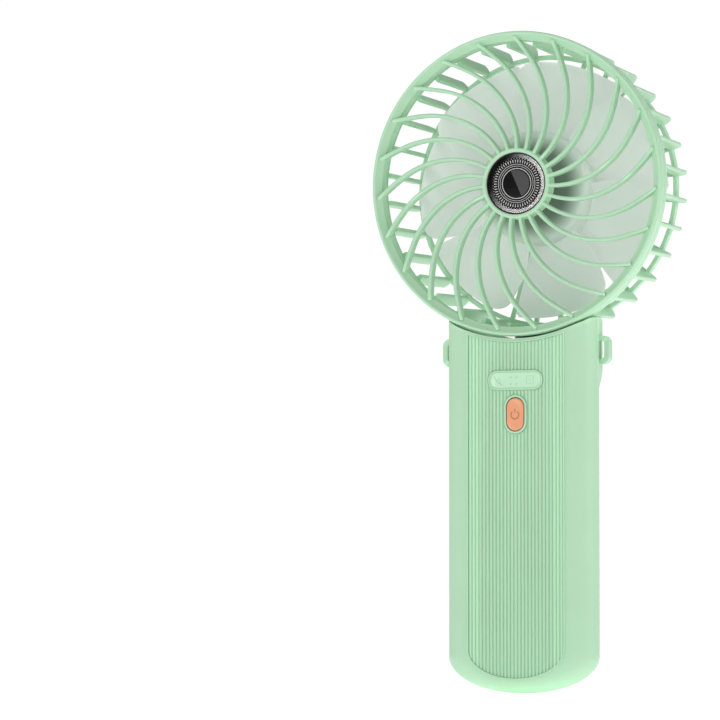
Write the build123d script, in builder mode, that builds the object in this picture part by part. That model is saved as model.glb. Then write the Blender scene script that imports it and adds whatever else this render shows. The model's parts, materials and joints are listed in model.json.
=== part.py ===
from build123d import *
import os
from math import cos, radians, sin

os.makedirs("parts", exist_ok=True)

# A folding handheld fan, standing upright. +X is its right, -Y its front, +Z up, in millimetres.
# Depths are measured from the front face of the handle and grille towards the rear (+Y).

# ---------------------------------------------------------------- driving dimensions
TOTAL_HEIGHT = 227.0
RIM_R = 52.5                      # round head
HEAD_Z = TOTAL_HEIGHT - RIM_R     # axis of the head
REAR_DEPTH = 39.4                 # rear cover
BUTTON_PROUD = 0.6                # button in front of the front face
FRONT_Y = -(REAR_DEPTH + BUTTON_PROUD) / 2 + BUTTON_PROUD

# handle
BODY_HALF_W = 26.75
BODY_DEPTH = 19.0
PARTING = 8.5                     # depth of the seam between the shells
WALL = 1.8
FRONT_FLAT, FRONT_FOOT, FRONT_RISE = 17.7, 4.6, 10.3   # flat half-width, its lowest point, round end
REAR_FLAT, REAR_FOOT, REAR_RISE = 16.0, 5.0, 10.0
BODY_RISE = 12.6                  # height of the half-ellipse at the bottom end
SADDLE_R = 53.3                   # hollow top end, round the head
SADDLE_TAPER = 0.7                # it narrows by this towards the rear, as the cage does
DOME_R, DOME_DEPTH = BODY_HALF_W - 0.04, 9.8
DOME_FULL_Z = HEAD_Z - 62.0       # the dome keeps its full depth above this
DOME_DROP = 26.0                  # and rounds off over this height
SEAM_GAP = 0.15

# hinge
HINGE_DEPTH = 28.0
HINGE_Z = HEAD_Z - 59.0
KNUCKLE_R = 7.4
NECK_HALF_W = 7.4
SLOT_HALF_W = 8.0
SLOT_R = 8.0
EAR_T = 3.0
PIN_R = 1.5

# grille and cage
GRILLE_DEPTH = 2.4                # seam between the grille and the cage
SKIRT_DEPTH = 6.8
BAND_END = 7.6
HUB_R, HUB_DEPTH, BADGE_R = 12.2, 6.2, 10.65
RIB_COUNT, RIB_W, RIB_DEPTH, RIB_ANGLE = 23, 1.3, 3.8, 89.3
RIB_ARCS = ((27.8, 38.0), (33.0, 26.0), (80.0, 7.1))    # radius and sweep, from the hub outwards
FIN_COUNT, FIN_T = 32, 1.5
FIN_FRONT_R, FIN_REAR_R, FIN_NECK_R, FIN_ROUND = 52.0, 50.9, 49.2, 2.0
REAR_RING = (46.0, 47.5)
CAGE_END = 36.2
SPOKE_FRONT = 34.4
MOUNT_R = 20.5

# motor and impeller
BLADE_COUNT, BLADE_R, BLADE_T = 7, 44.3, 1.3
CUP_R, CUP_FRONT, CUP_END = 19.7, 17.0, 31.5
SHAFT_R = 1.0
CAN_R, CAN_FRONT, CAN_END, CAN_T = 15.8, 18.6, 29.5, 0.8
BEARING_R, TUBE_R = 2.5, 3.6
STATOR_R = 13.1

# controls
PANEL_DEPTH = 0.5                 # the ribbed panel lies this far in
GRIP_PITCH, GRIP_COUNT, GRIP_R = 1.27, 27, 0.5
WINDOW_Z, WINDOW_W, WINDOW_H = HEAD_Z - 67.6, 18.8, 5.7
BUTTON_Z, BUTTON_W, BUTTON_H = HEAD_Z - 79.3, 6.1, 11.2
RIM_PROUD = 0.3
MOVING_GAP = 0.3
BOARD_DEPTH, BOARD_T = 5.0, 1.2
PORT_DEPTH = 12.2
SCREW_PLACES = [(x, z) for x in (-12.5, 12.5) for z in (20.0, 84.0)]

HEAD_AXIS = Axis((0, 0, HEAD_Z), (0, -1, 0))
REARWARD = (Align.CENTER, Align.CENTER, Align.MAX)


def front_plane(depth, height=0.0):
    """A plane that faces the front, at a depth, with its origin at a height."""
    return Plane(origin=(0, FRONT_Y + depth, height), x_dir=(1, 0, 0), z_dir=(0, -1, 0))


def half_plane(angle=0.0):
    """A plane through the head axis: local x is the radius, local y the depth."""
    out = Vector(cos(radians(angle)), 0, sin(radians(angle)))
    return Plane(origin=(0, FRONT_Y, HEAD_Z), x_dir=out, z_dir=out.cross(Vector(0, 1, 0)))


def disc(depth, length, radius, mode=Mode.ADD):
    """A round disc about the head axis, from a depth towards the rear."""
    with Locations(front_plane(depth, HEAD_Z)):
        Cylinder(radius, length, align=REARWARD, mode=mode)


def saddle(extra=0.0, mode=Mode.SUBTRACT):
    """The round hollow of the top end, or one that lies a bit further out."""
    front, rear = SADDLE_R + extra, SADDLE_R + extra - SADDLE_TAPER
    with BuildSketch(half_plane()) as profile:
        with BuildLine():
            Polyline((0, -1), (front, -1), (front, 14), (rear, 30), (rear, 59), (0, 59), close=True)
        make_face()
    revolve(profile.sketch, axis=HEAD_AXIS, mode=mode)


def block(x_span, depth_span, z_span, mode=Mode.ADD):
    """A box between two x, two depths and two heights."""
    spans = [x_span, [FRONT_Y + d for d in depth_span], z_span]
    with Locations(tuple(sum(span) / 2 for span in spans)):
        Box(*(span[1] - span[0] for span in spans), mode=mode)


def post(x, z, depth, length, radius, mode=Mode.ADD):
    """A round post along the depth, at a place on the handle."""
    with Locations(Plane(origin=(x, FRONT_Y + depth, z), x_dir=(1, 0, 0), z_dir=(0, -1, 0))):
        Cylinder(radius, length, align=REARWARD, mode=mode)


def cross_rod(x_span, radius, mode=Mode.ADD):
    """A rod along X about the hinge axis."""
    middle = (sum(x_span) / 2, FRONT_Y + HINGE_DEPTH, HINGE_Z)
    with Locations(Plane(origin=middle, x_dir=(0, 1, 0), z_dir=(1, 0, 0))):
        Cylinder(radius, x_span[1] - x_span[0], mode=mode)


def finish(part, label):
    """Name a piece and write it out."""
    part.label = label
    export_step(part, f"parts/{label}.step")




# ================================================================ shapes that several pieces share
def body_half(face, flat, foot, rise, wall):
    """One half of the handle, from the seam to its front or rear face, inset by a wall."""
    face_depth = face + (wall if face < PARTING else -wall)
    with BuildPart() as half:
        for turn in range(0, 91, 15):
            swell, reach = cos(radians(turn)), sin(radians(turn))
            width = flat + (BODY_HALF_W - flat) * swell - wall
            bottom = foot * (1 - swell) + wall
            arch = rise + (BODY_RISE - rise) * swell - wall
            with BuildSketch(front_plane(PARTING + (face_depth - PARTING) * reach)):
                with BuildLine():
                    end = EllipticalCenterArc((0, bottom + arch), width, arch, start_angle=180, arc_size=180)
                    Polyline(end @ 1, (width, HEAD_Z - 40), (-width, HEAD_Z - 40), end @ 0)
                make_face()
        loft()
    return half.part


def dome(radius, drop):
    """The domed housing round the hinge: half a cylinder with a long rounded lower end."""
    with BuildPart() as housing:
        with BuildSketch(front_plane(DOME_DEPTH)):
            with BuildLine():
                edge = EllipticalCenterArc((0, DOME_FULL_Z), radius, drop, start_angle=270, arc_size=90)
                Polyline(edge @ 1, (radius, HEAD_Z - 40), (0, HEAD_Z - 40), edge @ 0)
            make_face()
        revolve(axis=Axis((0, FRONT_Y + DOME_DEPTH, 0), (0, 0, 1)), revolution_arc=180)
        with BuildSketch(front_plane(PARTING)):
            with BuildLine():
                side = EllipticalCenterArc((0, DOME_FULL_Z), radius, drop, start_angle=180, arc_size=180)
                Polyline(side @ 1, (radius, HEAD_Z - 40), (-radius, HEAD_Z - 40), side @ 0)
            make_face()
        extrude(amount=PARTING - DOME_DEPTH)
    return housing.part


def rear_volume(wall):
    """Everything behind the seam, inset by a wall."""
    with BuildPart() as volume:
        add(body_half(BODY_DEPTH, REAR_FLAT, REAR_FOOT, REAR_RISE, wall))
        add(dome(DOME_R - wall, DOME_DROP - wall))
    return volume.part


def hinge_slot(grow):
    """The space in which the neck turns, or that space with walls round it."""
    half, front = SLOT_HALF_W + grow, HINGE_DEPTH - SLOT_R - grow
    with BuildPart() as slot:
        cross_rod((-half, half), SLOT_R + grow)
        block((-half, half), (front, 40), (HINGE_Z, HEAD_Z - 40))
        block((-half, half), (HINGE_DEPTH, 40), (HINGE_Z - SLOT_R - grow, HINGE_Z))
    return slot.part


def panel_outline(inset):
    """The ribbed panel: straight sides, an elliptical lower end and a hollow top end."""
    width, bottom, rise = FRONT_FLAT - inset, FRONT_FOOT + inset, FRONT_RISE - inset
    with BuildSketch() as outline:
        with BuildLine():
            end = EllipticalCenterArc((0, bottom + rise), width, rise, start_angle=180, arc_size=180)
            Polyline(end @ 1, (width, HEAD_Z - 40), (-width, HEAD_Z - 40), end @ 0)
        make_face()
        with Locations((0, HEAD_Z)):
            Circle(SADDLE_R + 0.8 + inset, mode=Mode.SUBTRACT)
    return outline.sketch


rear_cavity = rear_volume(WALL)

# ================================================================ handle
# Front half with the end wall under the head, which closes the open top of the rear half.
with BuildPart() as end_wall:
    add(rear_volume(WALL + SEAM_GAP))
    saddle(WALL, mode=Mode.INTERSECT)
    saddle()

with BuildPart() as front_cavity:
    add(body_half(0, FRONT_FLAT, FRONT_FOOT, FRONT_RISE, WALL))
    saddle(WALL)

# Rounded grip ribs that run the length of the panel.
with BuildPart() as grip_ribs:
    with BuildSketch(Plane.XY):
        with Locations((0, FRONT_Y + GRIP_R)):
            with GridLocations(GRIP_PITCH, 1, GRIP_COUNT, 1):
                Circle(GRIP_R)
    extrude(amount=HEAD_Z - 40)
    with BuildSketch(front_plane(-1)):
        add(panel_outline(0.6))
        with Locations((0, WINDOW_Z)):
            SlotOverall(WINDOW_W + 1.5, WINDOW_H + 1.5, mode=Mode.SUBTRACT)
        with Locations((0, BUTTON_Z)):
            SlotOverall(BUTTON_H + 2.6, BUTTON_W + 2.6, rotation=90, mode=Mode.SUBTRACT)
    extrude(amount=-WALL, mode=Mode.INTERSECT)

with BuildPart() as front_shell:
    add(body_half(0, FRONT_FLAT, FRONT_FOOT, FRONT_RISE, 0))
    saddle()
    add(front_cavity.part, mode=Mode.SUBTRACT)
    with BuildSketch(front_plane(0)):
        add(panel_outline(0.5))
    extrude(amount=-PANEL_DEPTH, mode=Mode.SUBTRACT)
    add(grip_ribs.part)
    # fine border bead, and the raised rims of the window and the button
    with BuildSketch(front_plane(-RIM_PROUD)):
        add(panel_outline(0))
        add(panel_outline(0.5), mode=Mode.SUBTRACT)
        with Locations((0, WINDOW_Z)):
            SlotOverall(WINDOW_W + 1.0, WINDOW_H + 1.0)
        with Locations((0, BUTTON_Z)):
            SlotOverall(BUTTON_H + 2.0, BUTTON_W + 2.0, rotation=90)
    extrude(amount=-(RIM_PROUD + WALL / 2))
    with BuildSketch(front_plane(-1)):
        with Locations((0, WINDOW_Z)):
            SlotOverall(WINDOW_W, WINDOW_H)
        with Locations((0, BUTTON_Z)):
            SlotOverall(BUTTON_H + 2 * MOVING_GAP, BUTTON_W + 2 * MOVING_GAP, rotation=90)
    extrude(amount=-5, mode=Mode.SUBTRACT)
    # the end wall reaches back into the dome, and the slot for the neck passes through it
    add(end_wall.part)
    add(hinge_slot(0), mode=Mode.SUBTRACT)
    # screw bosses and the two posts of the control board
    for x, z in SCREW_PLACES:
        post(x, z, WALL - 0.2, 13.0 - WALL, 2.4)
        post(x, z, 7.0, 7.0, SHAFT_R, mode=Mode.SUBTRACT)
    for x in (-11.5, 11.5):
        post(x, 100.5, WALL - 0.2, BOARD_DEPTH - WALL + 0.2, 1.6)
finish(front_shell.part, "front_shell")

# Rear half with the dome, the two ears of the hinge and the closed pocket round the slot.
with BuildPart() as pocket:
    add(hinge_slot(EAR_T))
    add(rear_volume(0.5), mode=Mode.INTERSECT)
    saddle(WALL + SEAM_GAP)

LOOP_DEPTH, LOOP_T = 10.5, 3.5
LOOP_LOW, LOOP_HIGH, LOOP_X, LOOP_BAR = HEAD_Z - 62.0, HEAD_Z - 52.3, 30.2, 1.7

with BuildPart() as rear_shell:
    add(rear_volume(0))
    saddle()
    add(rear_cavity, mode=Mode.SUBTRACT)
    add(pocket.part)
    add(hinge_slot(0), mode=Mode.SUBTRACT)
    cross_rod((-SLOT_HALF_W - EAR_T, SLOT_HALF_W + EAR_T), PIN_R, mode=Mode.SUBTRACT)
    # posts with counterbores for the shell screws
    for x, z in SCREW_PLACES:
        post(x, z, 13.0, 5.0, 3.1)
        post(x, z, 15.0, 5.0, 2.1, mode=Mode.SUBTRACT)
        post(x, z, 10.0, 8.0, SHAFT_R + 0.15, mode=Mode.SUBTRACT)
    # charging port, and the feet of the strap loops
    with BuildSketch(Plane.XY):
        with Locations((0, FRONT_Y + PORT_DEPTH)):
            SlotOverall(9.3, 3.6)
    extrude(amount=6, mode=Mode.SUBTRACT)
    for foot_low in (LOOP_LOW, LOOP_HIGH - LOOP_BAR):
        block((-30, 30), (LOOP_DEPTH, LOOP_DEPTH + LOOP_T), (foot_low, foot_low + LOOP_BAR),
              mode=Mode.SUBTRACT)
finish(rear_shell.part, "rear_shell")

# Strap loops: a staple whose two feet pass through the shell.
for name, side in (("strap_loop_left", -1), ("strap_loop_right", 1)):
    with BuildPart() as strap_loop:
        with BuildSketch(front_plane(LOOP_DEPTH, (LOOP_LOW + LOOP_HIGH) / 2)):
            with Locations((side * (LOOP_X - 8.0), 0)):
                RectangleRounded(16.0, LOOP_HIGH - LOOP_LOW, 2.6)
            with Locations((side * (LOOP_X - LOOP_BAR - 8.0), 0)):
                RectangleRounded(16.0, LOOP_HIGH - LOOP_LOW - 2 * LOOP_BAR, 1.2, mode=Mode.SUBTRACT)
            with Locations((side * 11.5, 0)):
                Rectangle(26.0, 20.0, mode=Mode.SUBTRACT)
        extrude(amount=-LOOP_T)
    finish(strap_loop.part, name)

# Hinge hardware.
with BuildPart() as hinge_pin:
    cross_rod((-SLOT_HALF_W - EAR_T - 1.2, SLOT_HALF_W + EAR_T + 1.2), PIN_R)
finish(hinge_pin.part, "hinge_pin")

with BuildPart() as hinge_washers:
    for side in (-1, 1):
        span = sorted((side * (NECK_HALF_W + 0.05), side * (SLOT_HALF_W - 0.05)))
        cross_rod(span, 4.5)
    cross_rod((-20, 20), PIN_R, mode=Mode.SUBTRACT)
finish(hinge_washers.part, "hinge_washers")

with BuildPart() as pin_clips:
    for side in (-1, 1):
        span = sorted((side * (SLOT_HALF_W + EAR_T), side * (SLOT_HALF_W + EAR_T + 0.8)))
        cross_rod(span, 2.3)
    cross_rod((-20, 20), PIN_R, mode=Mode.SUBTRACT)
finish(pin_clips.part, "pin_clips")

# Indicator window and power button.
with BuildPart() as indicator_window:
    with BuildSketch(front_plane(-0.1, WINDOW_Z)):
        SlotOverall(WINDOW_W, WINDOW_H)
    extrude(amount=-(WALL + 0.1))
    fillet(indicator_window.faces().sort_by(Axis.Y)[0].edges(), 0.3)
    with BuildSketch(front_plane(WALL, WINDOW_Z)):
        SlotOverall(WINDOW_W + 1.2, WINDOW_H + 1.2)
    extrude(amount=-0.6)
finish(indicator_window.part, "indicator_window")

with BuildPart() as power_button:
    with BuildSketch(front_plane(-BUTTON_PROUD, BUTTON_Z)):
        SlotOverall(BUTTON_H, BUTTON_W, rotation=90)
    extrude(amount=-(BUTTON_PROUD + WALL + 0.1))
    fillet(power_button.faces().sort_by(Axis.Y)[0].edges(), 0.5)
    with BuildSketch(front_plane(WALL + 0.1, BUTTON_Z)):
        SlotOverall(BUTTON_H + 1.6, BUTTON_W + 1.6, rotation=90)
    extrude(amount=-0.7)
finish(power_button.part, "power_button")

with BuildPart() as switch_plunger:
    post(0, BUTTON_Z, WALL + 0.8, 1.3, 1.6)
finish(switch_plunger.part, "switch_plunger")

# Electronics behind the controls.
with BuildPart() as control_board:
    block((-14, 14), (BOARD_DEPTH, BOARD_DEPTH + BOARD_T), (87.5, 111.0))
finish(control_board.part, "control_board")

with BuildPart() as tact_switch:
    block((-3, 3), (3.2, BOARD_DEPTH), (BUTTON_Z - 3, BUTTON_Z + 3))
    post(0, BUTTON_Z, 3.0, 1.6, 1.9, mode=Mode.SUBTRACT)
finish(tact_switch.part, "tact_switch")

with BuildPart() as indicator_leds:
    for x in (-5.6, 0, 5.6):
        block((x - 0.8, x + 0.8), (BOARD_DEPTH - 0.8, BOARD_DEPTH), (WINDOW_Z - 0.4, WINDOW_Z + 0.4))
finish(indicator_leds.part, "indicator_leds")

# Flat battery on its foam pad, and its two leads up to the control board.
BATTERY_BACK, BATTERY_T = 16.2, 9.2
with BuildPart() as battery_cell:
    block((-18.5, 18.5), (BATTERY_BACK - BATTERY_T, BATTERY_BACK), (27.0, 80.0))
    fillet(battery_cell.edges().filter_by(Axis.Z), 3.0)
finish(battery_cell.part, "battery_cell")

with BuildPart() as battery_pad:
    block((-13, 13), (BATTERY_BACK, BODY_DEPTH - WALL), (32.0, 75.0))
finish(battery_pad.part, "battery_pad")

with BuildPart() as battery_leads:
    for x in (-3.0, 3.0):
        with BuildLine():
            start = (x, FRONT_Y + 10.0, 80.0)
            FilletPolyline(start, (x, FRONT_Y + 10.0, 89.0), (x, FRONT_Y + BOARD_DEPTH + BOARD_T, 89.0),
                           radius=1.6)
        with BuildSketch(Plane(origin=start, z_dir=(0, 0, 1))):
            Circle(0.6)
        sweep()
finish(battery_leads.part, "battery_leads")

# Charging port and its board at the bottom end.
with BuildPart() as charging_port:
    with BuildSketch(Plane.XY.offset(0.7)):
        with Locations((0, FRONT_Y + PORT_DEPTH)):
            SlotOverall(8.9, 3.2)
    extrude(amount=7.3)
    with BuildSketch(Plane.XY.offset(0.7)):
        with Locations((0, FRONT_Y + PORT_DEPTH)):
            SlotOverall(8.3, 2.6)
            Rectangle(6.7, 0.7, mode=Mode.SUBTRACT)
    extrude(amount=6.5, mode=Mode.SUBTRACT)
finish(charging_port.part, "charging_port")

with BuildPart() as charge_board:
    block((-7, 7), (PORT_DEPTH + 1.6, PORT_DEPTH + 2.6), (4.2, 18.0))
finish(charge_board.part, "charge_board")

with BuildPart() as shell_screws:
    for x, z in SCREW_PLACES:
        post(x, z, 15.0, 1.4, 1.9)
        post(x, z, 8.0, 7.0, SHAFT_R)
        with Locations(Plane(origin=(x, FRONT_Y + 15.8, z), x_dir=(1, 0, 0), z_dir=(0, -1, 0))):
            Box(2.2, 0.5, 1.2, align=REARWARD, mode=Mode.SUBTRACT)
            Box(0.5, 2.2, 1.2, align=REARWARD, mode=Mode.SUBTRACT)
finish(shell_screws.part, "shell_screws")

# ================================================================ head
with BuildSketch() as rib_outline:
    with BuildLine() as rib_line:
        run = Line((BADGE_R - 1, 0), (HUB_R, 0))
        for arc_radius, arc_size in RIB_ARCS:
            run = JernArc(run @ 1, run % 1, arc_radius, arc_size)
    trace(line_width=RIB_W)

with BuildPart() as front_grille:
    with BuildSketch(half_plane()):
        with BuildLine():
            Polyline((51.3, 0), (52.1, 0), (RIM_R, 0.5), (RIM_R, GRILLE_DEPTH), (50.5, GRILLE_DEPTH),
                     (50.5, SKIRT_DEPTH), (49.4, SKIRT_DEPTH), (49.2, 1.8), close=True)
        make_face()
    revolve(axis=HEAD_AXIS)
    disc(0.2, HUB_DEPTH - 0.2, HUB_R)
    disc(-1, 4.4, BADGE_R, mode=Mode.SUBTRACT)
    with BuildSketch(front_plane(0.3, HEAD_Z)):
        with PolarLocations(0, RIB_COUNT, start_angle=RIB_ANGLE):
            add(rib_outline.sketch)
        Circle(BADGE_R, mode=Mode.SUBTRACT)
    extrude(amount=-RIB_DEPTH)
finish(front_grille.part, "front_grille")

with BuildPart() as badge_bezel:
    disc(0.9, 2.5, BADGE_R - 0.05)
    disc(0.5, 3.5, 9.8, mode=Mode.SUBTRACT)
finish(badge_bezel.part, "badge_bezel")

with BuildPart() as badge_plate:
    disc(1.7, 1.7, 9.75)
finish(badge_plate.part, "badge_plate")

with BuildPart() as badge_lens:
    disc(1.0, 0.7, 4.7)
    fillet(badge_lens.faces().sort_by(Axis.Y)[0].edges(), 0.4)
finish(badge_lens.part, "badge_lens")

with BuildPart() as rear_cage:
    # rim band behind the grille, rear ring and motor mount
    with BuildSketch(half_plane()):
        with BuildLine():
            Polyline((50.7, GRILLE_DEPTH), (RIM_R, GRILLE_DEPTH), (52.2, BAND_END), (49.3, BAND_END),
                     (49.3, SKIRT_DEPTH + 0.1), (50.7, SKIRT_DEPTH + 0.1), close=True)
        make_face()
        with BuildLine():
            Polyline((REAR_RING[0], CAGE_END - 2.8), (REAR_RING[1], CAGE_END - 2.8),
                     (REAR_RING[1], CAGE_END), (REAR_RING[0], CAGE_END), close=True)
        make_face()
    revolve(axis=HEAD_AXIS)
    disc(SPOKE_FRONT, CAGE_END - SPOKE_FRONT, MOUNT_R)
    # fins along the side that turn inwards as rear spokes; the two over the neck taper more
    for fin in range(FIN_COUNT):
        angle = (fin + 0.5) * 360 / FIN_COUNT
        rear_r = FIN_NECK_R if abs(angle - 270) < 10 else FIN_REAR_R
        with BuildSketch(half_plane(angle)):
            with BuildLine():
                corner = CenterArc((rear_r - FIN_ROUND, CAGE_END - FIN_ROUND), FIN_ROUND, 0, 90)
                Polyline(corner @ 1, (MOUNT_R - 1, CAGE_END), (MOUNT_R - 1, SPOKE_FRONT),
                         (46.6, SPOKE_FRONT), (47.6, BAND_END), (51.0, BAND_END - 0.3),
                         (FIN_FRONT_R, BAND_END - 0.3), corner @ 0)
            make_face()
    extrude(amount=FIN_T / 2, both=True)
    # solid wall at the bottom, which carries the neck
    with BuildSketch(half_plane(-98)):
        with BuildLine():
            Polyline((50.0, BAND_END - 0.3), (FIN_FRONT_R, BAND_END - 0.3), (50.9, CAGE_END - 1.5),
                     (50.4, CAGE_END - 0.4), (49.6, CAGE_END), (49.0, CAGE_END - 0.4),
                     (49.0, SPOKE_FRONT - 2), close=True)
        make_face()
    revolve(axis=HEAD_AXIS, revolution_arc=16)
    with BuildPart(mode=Mode.PRIVATE) as neck:
        cross_rod((-NECK_HALF_W, NECK_HALF_W), KNUCKLE_R)
        block((-NECK_HALF_W, NECK_HALF_W), (HINGE_DEPTH - KNUCKLE_R, HINGE_DEPTH + KNUCKLE_R),
              (HINGE_Z, HEAD_Z - 45))
        disc(-1, 60, 49.4, mode=Mode.SUBTRACT)
    add(neck.part)
    cross_rod((-20, 20), PIN_R + 0.05, mode=Mode.SUBTRACT)
    # holes for the motor screws and the motor's bearing tube
    with Locations(front_plane(SPOKE_FRONT - 1, HEAD_Z)):
        with PolarLocations(9.0, 3, start_angle=90):
            Cylinder(1.15, 5, align=REARWARD, mode=Mode.SUBTRACT)
finish(rear_cage.part, "rear_cage")

# Flat cover over the motor mount.
COVER_R = 19.0
with BuildPart() as rear_cover:
    with BuildSketch(half_plane()):
        with BuildLine():
            crown = Line((0, REAR_DEPTH), (15.2, REAR_DEPTH))
            edge = TangentArc(crown @ 1, (COVER_R, REAR_DEPTH - 2.2), tangent=(1, 0))
            Polyline(edge @ 1, (COVER_R, CAGE_END), (COVER_R - 1.6, CAGE_END), (COVER_R - 1.6, CAGE_END + 1.0),
                     (14.8, REAR_DEPTH - 1.4), (0, REAR_DEPTH - 1.4), crown @ 0)
        make_face()
    revolve(axis=HEAD_AXIS)
finish(rear_cover.part, "rear_cover")

# ---------------------------------------------------------------- motor
FLANGE_T = 1.2
with BuildPart() as motor_base:
    disc(SPOKE_FRONT - FLANGE_T, FLANGE_T, 12.0)
    disc(21.6, SPOKE_FRONT - 21.6, TUBE_R)
    disc(21.0, SPOKE_FRONT - 21.6, BEARING_R, mode=Mode.SUBTRACT)
    with Locations(front_plane(SPOKE_FRONT - 3, HEAD_Z)):
        with PolarLocations(9.0, 3, start_angle=90):
            Cylinder(0.9, 5, align=REARWARD, mode=Mode.SUBTRACT)
finish(motor_base.part, "motor_base")

with BuildPart() as motor_screws:
    with Locations(front_plane(SPOKE_FRONT - FLANGE_T, HEAD_Z)):
        with PolarLocations(9.0, 3, start_angle=90):
            Cylinder(0.9, CAGE_END - SPOKE_FRONT + FLANGE_T, align=REARWARD)
    with Locations(front_plane(CAGE_END, HEAD_Z)):
        with PolarLocations(9.0, 3, start_angle=90):
            Cylinder(1.8, 0.9, align=REARWARD)
finish(motor_screws.part, "motor_screws")

with BuildPart() as motor_board:
    disc(30.4, 1.2, STATOR_R)
    disc(30.0, 2.0, TUBE_R, mode=Mode.SUBTRACT)
finish(motor_board.part, "motor_board")

with BuildPart() as bearings:
    disc(21.8, 2.3, BEARING_R)
    disc(29.0, 2.3, BEARING_R)
    disc(20.0, 14.0, SHAFT_R + 0.03, mode=Mode.SUBTRACT)
finish(bearings.part, "bearings")

# Laminated core with nine arms, and a coil round each arm.
ARM_COUNT = 9
with BuildPart() as stator_core:
    with BuildSketch(front_plane(22.6, HEAD_Z)):
        Circle(5.6)
        with PolarLocations(8.6, ARM_COUNT):
            Rectangle(7.4, 2.0)
        with PolarLocations(12.1, ARM_COUNT):
            Rectangle(1.2, 6.6)
        Circle(TUBE_R, mode=Mode.SUBTRACT)
    extrude(amount=-5.0)
finish(stator_core.part, "stator_core")

with BuildPart() as stator_coils:
    with BuildSketch(front_plane(21.4, HEAD_Z)):
        with PolarLocations(9.2, ARM_COUNT):
            Rectangle(4.2, 4.0)
    extrude(amount=-7.4)
    with BuildSketch(front_plane(22.6, HEAD_Z)):
        with PolarLocations(8.6, ARM_COUNT):
            Rectangle(7.4, 2.0)
    extrude(amount=-5.0, mode=Mode.SUBTRACT)
finish(stator_coils.part, "stator_coils")

with BuildPart() as shaft:
    disc(CUP_FRONT - 0.6, SPOKE_FRONT - CUP_FRONT - 0.4, SHAFT_R)
finish(shaft.part, "shaft")

with BuildPart() as rotor_can:
    disc(CAN_FRONT, CAN_END - CAN_FRONT, CAN_R)
    disc(CAN_FRONT + CAN_T, CAN_END, CAN_R - CAN_T, mode=Mode.SUBTRACT)
    disc(CAN_FRONT, CAN_T, SHAFT_R, mode=Mode.SUBTRACT)
finish(rotor_can.part, "rotor_can")

with BuildPart() as magnet_ring:
    disc(20.4, 8.6, CAN_R - CAN_T)
    disc(20.0, 10.0, 13.6, mode=Mode.SUBTRACT)
finish(magnet_ring.part, "magnet_ring")

with BuildPart() as shaft_clip:
    disc(CUP_FRONT - 0.9, 0.9, 2.6)
    disc(CUP_FRONT - 2, 4, SHAFT_R, mode=Mode.SUBTRACT)
finish(shaft_clip.part, "shaft_clip")

# ---------------------------------------------------------------- impeller
BLADE_ROOT_ARC, BLADE_TIP_ARC, BLADE_BOW = 56.0, 52.0, 57.5
BLADE_FRONT, BLADE_RISE = 23.2, 8.6
BLADE_START = -1.5

with BuildPart() as blade:
    # thin plate that comes forward along the turn: steep at the root, shallow at the tip
    mid_angle = BLADE_START + BLADE_ROOT_ARC / 2
    out = Vector(cos(radians(mid_angle)), 0, sin(radians(mid_angle)))
    side = Vector(-out.Z, 0, out.X)
    for radius in (15.0, 22.0, 30.0, 38.0, 46.0):
        reach = radius * 0.72
        lift = BLADE_RISE / radians(BLADE_ROOT_ARC) / radius * reach
        centre = Vector(0, FRONT_Y + BLADE_FRONT + BLADE_RISE / 2, HEAD_Z) + out * radius
        with BuildSketch(Plane(origin=centre, x_dir=side, z_dir=out)):
            with BuildLine():
                Polyline((-reach, -lift - BLADE_T / 2), (reach, lift - BLADE_T / 2),
                         (reach, lift + BLADE_T / 2), (-reach, -lift + BLADE_T / 2), close=True)
            make_face()
    loft()
    # outline of the blade from the front
    with BuildSketch(front_plane(CUP_FRONT, HEAD_Z)) as plan:
        with BuildLine():
            tip = CenterArc((0, 0), BLADE_R, BLADE_START, BLADE_TIP_ARC)
            start, stop = radians(BLADE_START), radians(BLADE_START + BLADE_ROOT_ARC)
            root_start = (18.6 * cos(start), 18.6 * sin(start))
            root_stop = (18.6 * cos(stop), 18.6 * sin(stop))
            bow = radians(BLADE_START + BLADE_BOW)
            Line(root_start, tip @ 0)
            ThreePointArc(tip @ 1, (35.0 * cos(bow), 35.0 * sin(bow)), root_stop)
            Line(root_stop, root_start)
        make_face()
        fillet(plan.vertices().filter_by(lambda v: Vector(v.X, v.Y).length > 40)
               .sort_by(Axis.X)[0], 7.0)
        fillet(plan.vertices().filter_by(lambda v: Vector(v.X, v.Y).length > 40)
               .sort_by(Axis.X)[-1], 2.0)
    extrude(amount=-18, mode=Mode.INTERSECT)

with BuildPart() as impeller:
    disc(CUP_FRONT, CUP_END - CUP_FRONT, CUP_R)
    fillet(impeller.faces().sort_by(Axis.Y)[0].edges(), 2.0)
    disc(CAN_FRONT, CUP_END, CUP_R - 1.5, mode=Mode.SUBTRACT)
    disc(CUP_FRONT + 0.5, CAN_END - CUP_FRONT - 1, CAN_R + 1.2)
    disc(CAN_FRONT, CUP_END, CAN_R, mode=Mode.SUBTRACT)
    disc(CUP_FRONT - 1, 5, SHAFT_R, mode=Mode.SUBTRACT)
    for turn in range(BLADE_COUNT):
        add(blade.part.rotate(HEAD_AXIS, turn * 360 / BLADE_COUNT))
finish(impeller.part, "impeller")
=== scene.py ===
import json
from math import cos, pi, radians, sin, sqrt

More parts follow.
